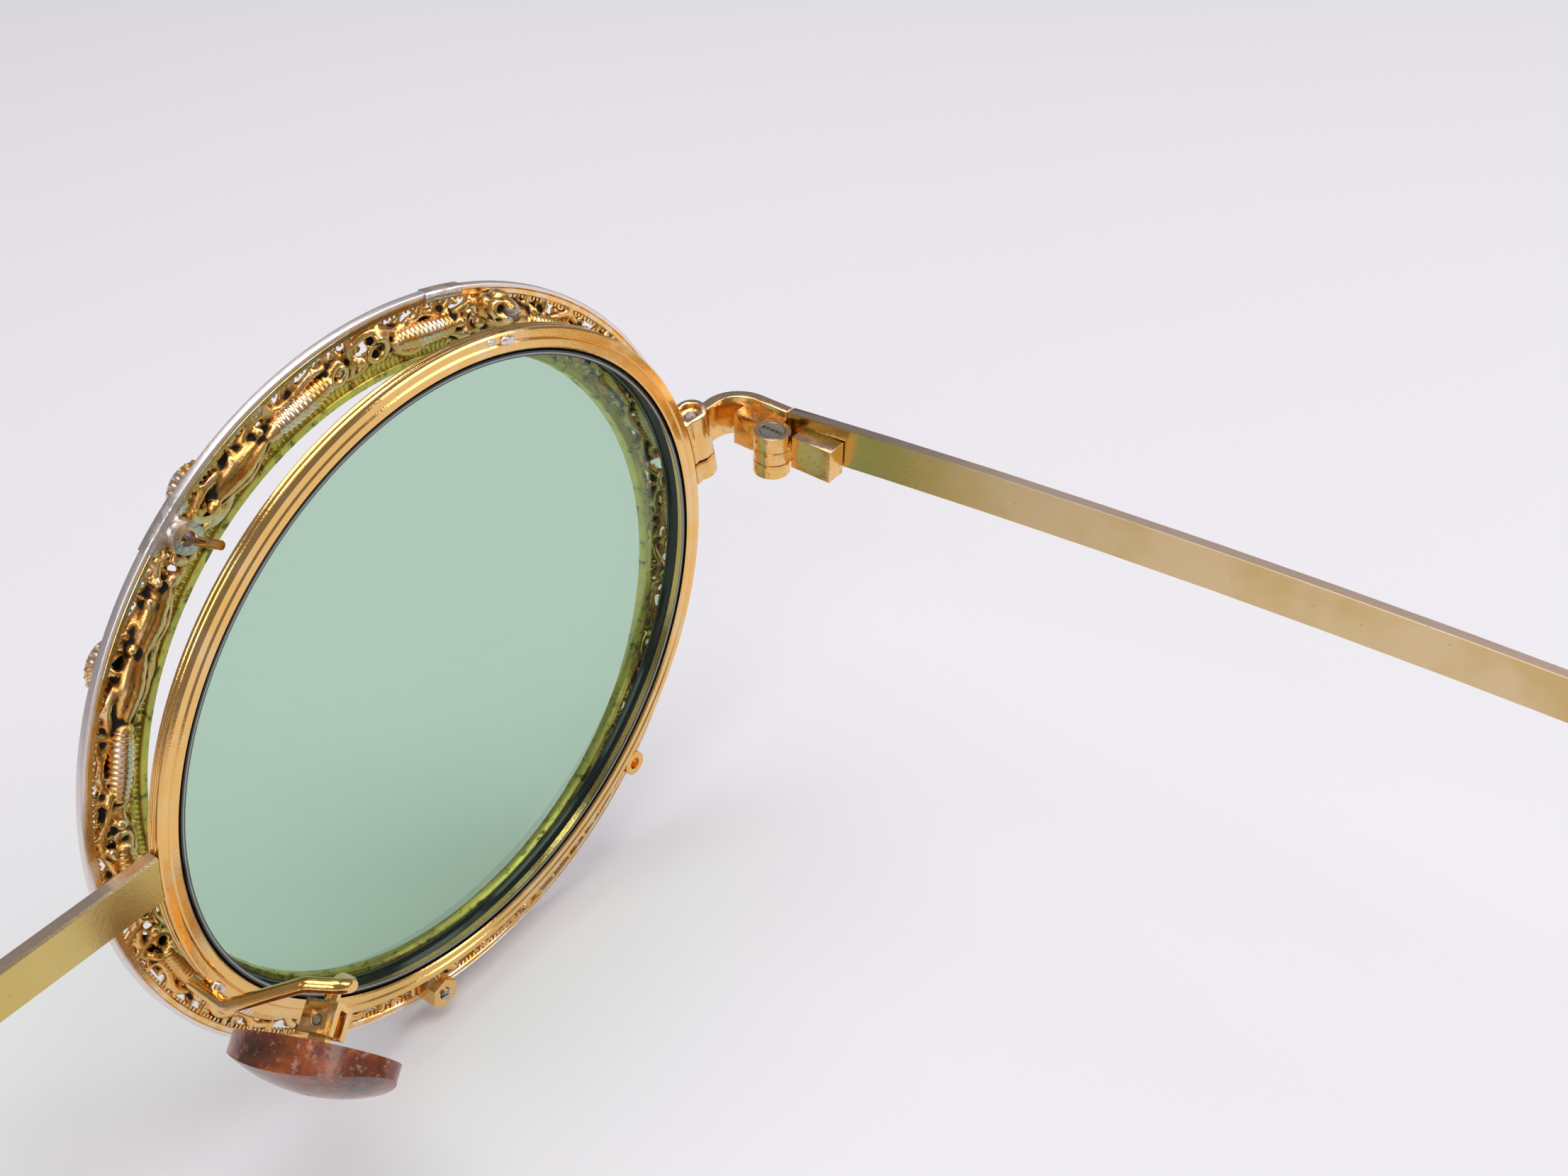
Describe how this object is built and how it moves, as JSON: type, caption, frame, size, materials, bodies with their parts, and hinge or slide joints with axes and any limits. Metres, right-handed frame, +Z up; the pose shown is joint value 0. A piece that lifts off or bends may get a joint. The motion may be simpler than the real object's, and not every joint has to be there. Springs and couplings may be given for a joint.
{
  "type": "clip-on sunglasses",
  "caption": "Round-eye gilt metal spectacles with green lenses, folding temples, rocking nose pads, and pull-off ornamental clip rings of cast openwork with cabochons.",
  "frame": {"origin": "on the standing surface, under the middle of the glasses' bounding box", "axes": "+X to the wearer's left, -Y forwards out of the lenses, +Z up; ring bottoms and temple tips stand on z = 0"},
  "size_m": [0.144, 0.145, 0.0566],
  "materials": {
    "polished_gilt": "polished gold plating, lightly scuffed",
    "satin_gilt": "satin brushed gold plating with rosy polished edges",
    "cast_gilt": "cast and gilded openwork, blackened in the recesses",
    "worn_silver_gilt": "gold plating worn through to silvery metal",
    "steel": "bare steel screw heads, tarnished",
    "lens_glass": "clear polished lens with a pale green tint",
    "tortoiseshell": "mottled brown and amber acetate, polished",
    "green_stone": "domed green glass cabochon, polished"
  },
  "bodies": {
    "front": {"bridge_bar": "satin_gilt", "eyewire_right": "polished_gilt", "eyewire_left": "polished_gilt", "lens_right": "lens_glass", "lens_left": "lens_glass", "closing_block_upper_right": "polished_gilt", "closing_block_upper_left": "polished_gilt", "closing_block_lower_right": "polished_gilt", "closing_block_lower_left": "polished_gilt", "closing_screw_right": "steel", "closing_screw_left": "steel", "endpiece_right": "polished_gilt", "endpiece_left": "polished_gilt", "front_hinge_right": "polished_gilt", "front_hinge_left": "polished_gilt", "hinge_screw_right": "steel", "hinge_screw_left": "steel", "pad_arm_right": "polished_gilt", "pad_arm_left": "polished_gilt", "pad_box_right": "polished_gilt", "pad_box_left": "polished_gilt", "pad_pin_right": "steel", "pad_pin_left": "steel"},
    "temple_right_arm": {"temple_right": "satin_gilt", "temple_tip_right": "tortoiseshell", "temple_hinge_right": "polished_gilt"},
    "pad_right": {"nose_pad_right": "tortoiseshell", "pad_lug_right": "polished_gilt"},
    "clip_ring_right": {"clip_barrels_right": "cast_gilt", "clip_beads_right": "cast_gilt", "clip_bezels_right": "cast_gilt", "clip_boss_right": "cast_gilt", "clip_cabochons_right": "green_stone", "clip_catch_pins_right": "cast_gilt", "clip_inner_band_right": "cast_gilt", "clip_loop_right": "cast_gilt", "clip_nut_right": "cast_gilt", "clip_openwork_right": "cast_gilt", "clip_outer_wall_right": "worn_silver_gilt", "clip_screws_right": "steel", "clip_tube_right": "cast_gilt"},
    "temple_left_arm": {"temple_left": "satin_gilt", "temple_tip_left": "tortoiseshell", "temple_hinge_left": "polished_gilt"},
    "pad_left": {"nose_pad_left": "tortoiseshell", "pad_lug_left": "polished_gilt"},
    "clip_ring_left": {"clip_barrels_left": "cast_gilt", "clip_beads_left": "cast_gilt", "clip_bezels_left": "cast_gilt", "clip_boss_left": "cast_gilt", "clip_cabochons_left": "green_stone", "clip_catch_pins_left": "cast_gilt", "clip_inner_band_left": "cast_gilt", "clip_loop_left": "cast_gilt", "clip_nut_left": "cast_gilt", "clip_openwork_left": "cast_gilt", "clip_outer_wall_left": "worn_silver_gilt", "clip_screws_left": "steel", "clip_tube_left": "cast_gilt"}
  },
  "joints": [
    {"name": "temple_fold_right", "type": "hinge", "parent": "front", "child": "temple_right_arm", "pos_m": [-0.0642, -0.05985, 0.03537], "axis": [0, 0, -1], "range_deg": [0, 88]},
    {"name": "temple_fold_left", "type": "hinge", "parent": "front", "child": "temple_left_arm", "pos_m": [0.0642, -0.05985, 0.03537], "axis": [0, 0, 1], "range_deg": [0, 80]},
    {"name": "pad_rock_right", "type": "hinge", "parent": "front", "child": "pad_right", "pos_m": [-0.0133, -0.05752, 0.01951], "axis": [0.4999, -0.0298, 0.8656], "range_deg": [-8, 8]},
    {"name": "pad_rock_left", "type": "hinge", "parent": "front", "child": "pad_left", "pos_m": [0.0133, -0.05752, 0.01951], "axis": [-0.4999, -0.0298, 0.8656], "range_deg": [-8, 8]},
    {"name": "clip_pull_right", "type": "slide", "parent": "front", "child": "clip_ring_right", "axis": [0, -1, 0], "range_m": [0, 0.008]},
    {"name": "clip_pull_left", "type": "slide", "parent": "front", "child": "clip_ring_left", "axis": [0, -1, 0], "range_m": [0, 0.008]}
  ]
}
